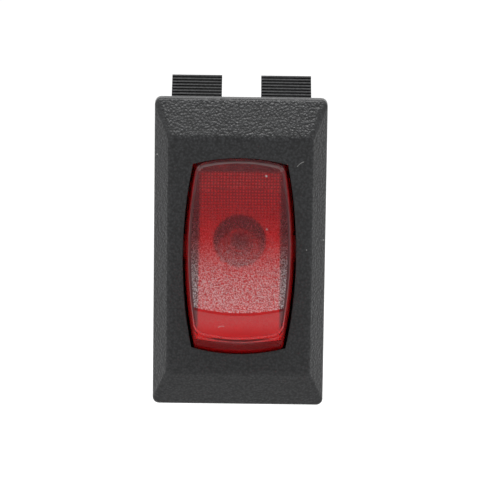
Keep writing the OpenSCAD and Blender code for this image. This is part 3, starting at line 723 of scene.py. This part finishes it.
finishes = ("frost_and_glint", "coat_and_highlight", "matt", "fronted", "edged")
for finish in finishes:
    rocker_cap.data.attributes.new(finish, "FLOAT", "FACE")
frost_and_glint, coat_and_highlight, matt, fronted, edged = (
    rocker_cap.data.attributes[finish].data for finish in finishes)
for face in rocker_cap.data.polygons:
    across, along, height = face.center
    crest, edge = crest_line(abs(across)), half_width(along, height) - edge_radius
    outside = float(height > face_start and face.normal.z > facing_out)
    on_face = outside * (face.normal.z > facing_front and abs(across) < edge)
    in_dish = on_face * (-crest < along < crest)
    on_strip = on_face * (-crest - crest_strip < along < -crest)
    on_land = on_face * (along < -crest - crest_strip)
    on_top = on_face * (along > crest)
    on_edge = (outside - on_face) * eased((along + edge_end) / edge_run)
    on_wall = float(abs(across) > wall_start and abs(face.normal.x) > facing_side)
    # Painted glints follow the frost mask, which fades out towards the upper end; the painted
    # highlight and its coat follow the highlight mask.
    frost_and_glint[face.index].value = in_dish * eased((frost_run - along) / frost_run)
    coat_and_highlight[face.index].value = (
        in_dish * eased((highlight_end - along) / highlight_run)
        + on_land * land_highlight * eased((along + land_end) / land_run)
        + on_edge * (upper_edge_highlight if along > upper_edge else edge_highlight)
        + on_top * top_highlight + on_wall * wall_highlight)
    matt[face.index].value = min(1, on_strip + on_land + on_edge)
    fronted[face.index].value = on_face * (1 - strip_dulling * on_strip)
    edged[face.index].value = on_edge
set_in_rocker(rocker_cap)
smooth_faces(rocker_cap, angle=11)


# Lint: specks of dust and short fibres that have settled on the front, here and on the bezel.
# Each speck is a round spot with a soft rim, and a fibre is a close row of them.
up_the_front, speck_core = (0, 0.208, 0.978), 0.5
speck_tree, speck_in, speck_out = shared_effect(
    "lint_speck", {"Across": 0.0, "Up": 0.0, "Radius": 0.2 * MM}, ["Mask"])
speck_up = vectors(speck_tree, "DOT_PRODUCT", speck_in["Vector"], up_the_front)
speck_across = put(speck_tree, "ShaderNodeSeparateXYZ", {0: speck_in["Vector"]}).outputs["X"]
speck_flat = put(speck_tree, "ShaderNodeCombineXYZ", {0: speck_across, 1: speck_up})
speck_middle = put(speck_tree, "ShaderNodeCombineXYZ", {0: speck_in["Across"], 1: speck_in["Up"]})
speck_off = vectors(speck_tree, "DISTANCE", speck_flat.outputs[0], speck_middle.outputs[0])
speck_solid = sums(speck_tree, "MULTIPLY", speck_in["Radius"], speck_core)
wire(speck_tree, speck_out, {
    "Mask": ramp(speck_tree, speck_off, speck_in["Radius"], speck_solid)})


def dusted(material, lint, sockets):
    """Lets lint settle on a front: rows of (across, up, radius) in mm over some shader sockets."""
    first_value, second_value = 2, 3
    tree = material.node_tree
    shader = tree.nodes["Principled BSDF"]
    place = put(tree, "ShaderNodeTexCoord").outputs["Object"]
    mask = 0.0
    for across, up, radius in lint:
        speck = put(tree, "ShaderNodeGroup", {
            "Vector": place, "Across": across * MM, "Up": up * MM, "Radius": radius * MM},
            node_tree=speck_tree)
        mask = sums(tree, "MAXIMUM", mask, speck.outputs["Mask"])
    for name, value in sockets.items():
        clean = fed_by(shader, name)
        if isinstance(value, tuple):
            mixed = blend(tree, mask, clean, value)
        else:
            mixed = put(tree, "ShaderNodeMix", {
                "Factor": mask, first_value: clean, second_value: value}).outputs[0]
        wire(tree, shader, {name: mixed})


def fibre(start, end, radius, bow=0.15, beads=16):
    """A short bowed fibre of lint as a close row of specks."""
    row = []
    for bead in range(beads):
        share = bead / (beads - 1)
        lift = bow * math.sin(math.pi * share)
        row.append((start[0] + (end[0] - start[0]) * share,
                    start[1] + (end[1] - start[1]) * share + lift, radius))
    return row


wall_red, face_red = (1.0, 0.03, 0.035, 1), (1.0, 0.06, 0.07, 1)
edge_red, highlight_pink = (0.42, 0.03, 0.035, 1), (1.0, 0.84, 0.9, 1)
frost_per_metre, frost_depth = 4400.0, 0.03 * MM
frost_pit, frost_pip, glint_start, glint_full = 0.45, 0.62, 0.58, 0.68
pit_coat, glint_coat, pit_tone = 0.16, 0.25, 0.78
frost_glint_white, highlight_white = 0.07, 0.7
dull_pip, polished, dulled = 0.4, 0.13, 0.36
lens_red, lens, lens_shader, lens_place = new_material("lens_red")
lens_frost_and_glint, lens_coat_and_highlight, lens_matt, lens_front, lens_edge = (
    put(lens, "ShaderNodeAttribute", attribute_name=finish).outputs["Fac"] for finish in finishes)
lens_noise = noise(lens, lens_place, frost_per_metre, detail=2.0, roughness=0.6)
lens_grain = ramp(lens, lens_noise, frost_pit, frost_pip)
lens_pips = sums(lens, "MULTIPLY", lens_grain, lens_frost_and_glint)
lens_dull = sums(lens, "MAXIMUM", ramp(lens, lens_pips, stop=dull_pip), lens_matt)
lens_even = sums(lens, "MAXIMUM", ramp(lens, lens_grain, low=pit_coat), lens_matt)
lens_glint = sums(lens, "MULTIPLY", lens_frost_and_glint,
                  ramp(lens, lens_noise, glint_start, glint_full, high=glint_coat))
# Painted glints and painted highlight: over the grain's pips, the frosted dish and the highlight
# mask turn the base colour pale pink.
lens_painted_pale = sums(lens, "MULTIPLY_ADD", lens_frost_and_glint, frost_glint_white,
                  sums(lens, "MULTIPLY", lens_coat_and_highlight, highlight_white))
lens_painted_glints = sums(lens, "MULTIPLY", lens_grain, lens_painted_pale)
lens_colour = blend(lens, lens_front, wall_red, face_red)
lens_colour = blend(lens, lens_frost_and_glint, lens_colour, ramp(lens, lens_grain, low=pit_tone),
                    mode="MULTIPLY")
lens_colour = blend(lens, lens_painted_glints, lens_colour, highlight_pink)
lens_colour = blend(lens, lens_edge, lens_colour, edge_red)
wire(lens, lens_shader, {
    "Base Color": lens_colour,
    "Roughness": ramp(lens, lens_dull, low=polished, high=dulled),
    "Normal": raised(lens, lens_pips, frost_depth),
    "Coat Weight": sums(lens, "MULTIPLY_ADD", lens_even, lens_coat_and_highlight, lens_glint),
    "Coat Roughness": 0.6,
    "Coat IOR": 3.6,
    "Sheen Weight": 0.33,
    "Sheen Tint": (1.0, 0.02, 0.025, 1),
    "Sheen Roughness": 0.5,
    "Specular Tint": (1.0, 0.72, 0.8, 1),
    "Transmission Weight": 0.95,
    "IOR": 1.5})
lens_depth = put(lens, "ShaderNodeVolumeAbsorption", {
    "Color": (0.998, 0.3, 0.32, 1), "Density": 2000.0})
wire(lens, lens.nodes["Material Output"], {"Volume": lens_depth.outputs["Volume"]})
lens_lint = ([(5.18, 14.92, 0.27), (5.41, 4.3, 0.25)]
             + fibre((-4.06, -15.41), (-2.93, -15.23), 0.08))
dusted(lens_red, lens_lint, {"Base Color": (0.95, 0.9, 0.9, 1), "Coat Weight": 1.0})
fitted(rocker_cap, "rocker_lens", "rocker", lens_red)


# Bezel: the sloped frame round the rocker, with four ridged arms that snap behind the panel.
# Black plastic with a moulded grain on all its faces; one moulding, pushed over the housing's nubs.

bezel_width, bezel_height = 34.6 * MM, 63 * MM
rim_depth, slope_rise, side_run, end_run = 2.5 * MM, 3.5 * MM, 3 * MM, 7.4 * MM
wall = 2 * MM
bezel_corner, front_edge, rim_edge, opening_edge = 1.3 * MM, 0.7 * MM, 0.4 * MM, 0.2 * MM
side_gap, end_gap = 0.8 * MM, 0.45 * MM
square_on = 0.9


def start_picking(piece, kind):
    """Clears the selection, ready for edges or faces to be picked by rule."""
    bpy.ops.object.mode_set(mode="OBJECT")
    only(piece)
    bpy.ops.object.mode_set(mode="EDIT")
    bpy.ops.mesh.select_mode(type=kind)
    bpy.ops.mesh.select_all(action="DESELECT")
    bpy.ops.object.mode_set(mode="OBJECT")


def pick_edges(piece, wanted):
    """Selects the edges whose two ends meet a rule; the piece stays in edit mode."""
    start_picking(piece, "EDGE")
    for edge in piece.data.edges:
        edge.select = wanted(*(piece.data.vertices[i].co for i in edge.vertices))
    bpy.ops.object.mode_set(mode="EDIT")


def pick_faces(piece, wanted):
    """Selects the faces whose normal and centre meet a rule; the piece stays in edit mode."""
    start_picking(piece, "FACE")
    for face in piece.data.polygons:
        face.select = wanted(face.normal, face.center)
    bpy.ops.object.mode_set(mode="EDIT")


def level_with(a, b, depth):
    """Whether both ends of an edge lie at a depth."""
    play = 0.001 * MM
    return abs(a.y - depth) < play and abs(b.y - depth) < play


def sloped_block(name, width, height, rim, rise, side, end, start):
    """A block on the panel with a straight rim and four slopes up to its front."""
    made = plain_block(name, (0, start - rim / 2, 0), (width, rim, height))
    pick_edges(made, lambda a, b: abs(a.y - b.y) > rim / 2)
    bpy.ops.mesh.bevel(offset=bezel_corner, segments=6)
    pick_faces(made, lambda normal, centre: normal.y < -square_on)
    bpy.ops.mesh.extrude_region_move(TRANSFORM_OT_translate={"value": (0, -rise, 0)})
    bpy.ops.transform.resize(value=(1 - 2 * side / width, 1, 1 - 2 * end / height),
                             center_override=(0, 0, 0))
    face_outward(made)
    return made


bezel_frame = sloped_block("bezel_frame", bezel_width, bezel_height,
                           rim_depth, slope_rise, side_run, end_run, 0)
front = -rim_depth - slope_rise
pick_edges(bezel_frame, lambda a, b: level_with(a, b, front))
bpy.ops.mesh.bevel(offset=front_edge, segments=4)
pick_edges(bezel_frame, lambda a, b: level_with(a, b, -rim_depth))
bpy.ops.mesh.bevel(offset=rim_edge, segments=3)
face_outward(bezel_frame)

hollow_rim, hollow_rise, hollow_side, hollow_end = 1.23 * MM, 2.77 * MM, 1.9 * MM, 5.75 * MM
overrun = 1 * MM
hollow = sloped_block("hollow", bezel_width - 2 * wall, bezel_height - 2 * wall,
                      hollow_rim + overrun, hollow_rise, hollow_side, hollow_end, overrun)
cut(bezel_frame, hollow)

opening_low, opening_high = front_height - wall - overrun, front_height + overrun
opening_across, opening_up = 11.5 * MM, 20.3 * MM
steps_across, steps_up, rounds = 24, 40, 6
opening = slab(steps_across, steps_up, size=2, thickness=1)
for corner in opening.data.vertices:
    a, b, level = corner.co
    height = opening_low + level * (opening_high - opening_low)
    across, along = a * rocker_width / 2, b * end_reach
    for _ in range(rounds):
        across = a * half_width(along, height, side_gap)
        along = b * half_length(across, height, end_gap)
    corner.co = (across, pivot[1] - height, along)
opening = added("opening")
face_outward(opening)
cut(bezel_frame, opening)
pick_edges(bezel_frame, lambda a, b: level_with(a, b, front)
           and max(abs(a.x), abs(b.x)) < opening_across
           and max(abs(a.z), abs(b.z)) < opening_up)
bpy.ops.mesh.bevel(offset=opening_edge, segments=2)
bpy.ops.object.mode_set(mode="OBJECT")

# Snap arms: four flat strips of the same moulding that flare out from straight roots behind the
# slopes; square ridges across them grip the edge of the panel.
arm_width, arm_offset, arm_root, arm_thickness = 10.2 * MM, 9.1 * MM, 24.15 * MM, 1.2 * MM
flare_start, flare_length, flare_angle = 1 * MM, 16.9 * MM, math.radians(28)
ridge_pitch, ridge_height, ridge_count = 1 * MM, 0.4 * MM, 15
ridged = ridge_count * ridge_pitch
plain = flare_length - ridged
strip_thickness = arm_thickness - ridge_height
snap_arm = plain_block("snap_arm", (0, plain + ridged / 2, -ridge_height - strip_thickness / 2),
                       (arm_width, ridged, strip_thickness))
pick_edges(snap_arm, lambda a, b: abs(a.y - b.y) > ridge_pitch)
bpy.ops.mesh.subdivide(number_cuts=2 * ridge_count - 1)
pick_faces(snap_arm, lambda normal, centre: normal.y < -square_on)
bpy.ops.mesh.extrude_region_move(TRANSFORM_OT_translate={"value": (0, -plain, 0)})
pick_faces(snap_arm, lambda normal, centre: normal.z > square_on and (
    centre.y < plain or (centre.y - plain) % ridge_pitch > ridge_pitch / 2))
bpy.ops.mesh.extrude_region_move(TRANSFORM_OT_translate={"value": (0, 0, ridge_height)})
face_outward(snap_arm)
snap_arm.rotation_euler = (flare_angle, 0, 0)
snap_arm.location = (arm_offset, flare_start, arm_root + arm_thickness)
bpy.ops.object.transform_apply(location=True, rotation=True, scale=True)
root_overlap, root_length = 0.3 * MM, flare_start + rim_depth + slope_rise - wall / 2
root_centre = (arm_offset, flare_start + root_overlap - root_length / 2,
               arm_root + arm_thickness / 2)
straight_root = plain_block("arm_root", root_centre, (arm_width, root_length, arm_thickness))
cut(snap_arm, straight_root, "UNION")
for side in (1, -1):
    for end in (1, -1):
        arm = bpy.data.objects.new("arm_copy", snap_arm.data.copy())
        bpy.context.scene.collection.objects.link(arm)
        only(arm)
        arm.scale = (side, 1, end)
        bpy.ops.object.transform_apply(location=True, rotation=True, scale=True)
        face_outward(arm)
        cut(bezel_frame, arm, "UNION")
bpy.data.objects.remove(snap_arm)

# Hook ribs: one bar inside each long wall, of the same moulding, behind which the housing's nubs
# snap when the bezel is pushed on.
rib_length, rib_thickness, rib_front = 12 * MM, 0.9 * MM, 1.6 * MM
rib_inner, rib_outer = 13.57 * MM, 15.7 * MM
for side in (1, -1):
    rib_centre = (side * (rib_inner + rib_outer) / 2, -rib_front + rib_thickness / 2, 0)
    rib = plain_block("rib", rib_centre, (rib_outer - rib_inner, rib_thickness, rib_length))
    cut(bezel_frame, rib, "UNION")
smooth_faces(bezel_frame, angle=40)

bezel_plastic = moulded_plastic(
    "bezel_plastic", (0.0078, 0.0081, 0.0087, 1), (0.0275, 0.0285, 0.0305, 1),
    roughness=0.33, depth=0.08 * MM, pips=2200)
bezel_lint = ([(-16.73, 19.09, 0.18), (16.87, 2.33, 0.16), (13.46, 0.26, 0.14)]
              + fibre((11.32, 16.92), (12.62, 17.85), 0.075))
dusted(bezel_plastic, bezel_lint, {"Base Color": (0.3, 0.3, 0.29, 1), "Roughness": 0.9})
fitted(bezel_frame, "bezel", "housing", bezel_plastic)


# Stage: a plain pale floor well below the switch, which is a panel part and has no foot to stand
# on. Matt paper, painted grey towards the camera as painted shade, so that the switch's lower
# faces mirror a darker floor.

floor_drop, floor_size = 40 * MM, 8.0
fade_reach, near_shade_grey, far_grey = 0.06, 0.48, 0.97
bpy.ops.object.select_all(action="DESELECT")
bpy.ops.mesh.primitive_plane_add(size=floor_size, location=(0, 0, cad_box[0].z - floor_drop))
floor = added("floor")
floor_paper, paper, paper_shader, paper_place = new_material("floor_paper")
paper_depth = put(paper, "ShaderNodeSeparateXYZ", {0: paper_place}).outputs["Y"]
paper_shade_tone = ramp(paper, paper_depth, -fade_reach, fade_reach, near_shade_grey, far_grey)
paper_grey = put(paper, "ShaderNodeCombineColor", {0: paper_shade_tone, 1: paper_shade_tone, 2: paper_shade_tone})
wire(paper, paper_shader, {"Base Color": paper_grey.outputs[0], "Roughness": 1.0})
floor.data.materials.append(floor_paper)


# Light: one soft box above and in front of the switch, as in a small photo tent.
# The tent's walls are white, and greyer on the camera's side, where its opening is.

box_width, box_depth, box_power = 0.7, 0.5, 7.5
box_forward, box_height = 0.42, 1.12
soft_box = bpy.data.lights.new("soft_box", "AREA")
soft_box.shape = "RECTANGLE"
soft_box.size, soft_box.size_y = box_width, box_depth
soft_box.energy = box_power
soft_box_place = bpy.data.objects.new("soft_box", soft_box)
soft_box_place.location = (0, -box_forward, box_height)
soft_box_place.rotation_euler = (math.atan2(box_forward, box_height), 0, 0)
bpy.context.scene.collection.objects.link(soft_box_place)

tent_turn, opening_rim, opening_middle = math.radians(4), 0.7, 0.99
tent_white, opening_grey = 0.95, 0.4
tent = bpy.data.worlds.new("tent")
bpy.context.scene.world = tent
tent.use_nodes = True
tent_tree = tent.node_tree
tent_way = put(tent_tree, "ShaderNodeTexCoord").outputs["Generated"]
tent_near = vectors(tent_tree, "DOT_PRODUCT", tent_way,
                    (0, -math.cos(tent_turn), math.sin(tent_turn)))
tent_level = ramp(tent_tree, tent_near, opening_rim, opening_middle, tent_white, opening_grey,
                  smooth=True)
wire(tent_tree, tent_tree.nodes["Background"], {"Color": (1, 1, 1, 1), "Strength": tent_level})


# Camera: straight in front of the switch and a little above it, with a long lens, as in the photo.
# It is rolled a little, because the switch leans in the photo.

camera_distance, camera_rise, camera_roll = 0.7, math.radians(12), math.radians(0.74)
frame_width, sensor = 97.1 * MM, 36.0
aim = (0.08 * MM, 0.0, 2.16 * MM)
camera = bpy.data.objects.new("camera", bpy.data.cameras.new("camera"))
bpy.context.scene.collection.objects.link(camera)
camera.data.sensor_width = sensor
camera.data.lens = sensor * camera_distance / frame_width
camera.location = (aim[0], aim[1] - camera_distance * math.cos(camera_rise),
                   aim[2] + camera_distance * math.sin(camera_rise))
camera.rotation_mode = "ZXY"
camera.rotation_euler = (math.pi / 2 - camera_rise, 0, camera_roll)
bpy.context.scene.camera = camera
bpy.context.scene.view_settings.view_transform = "Standard"
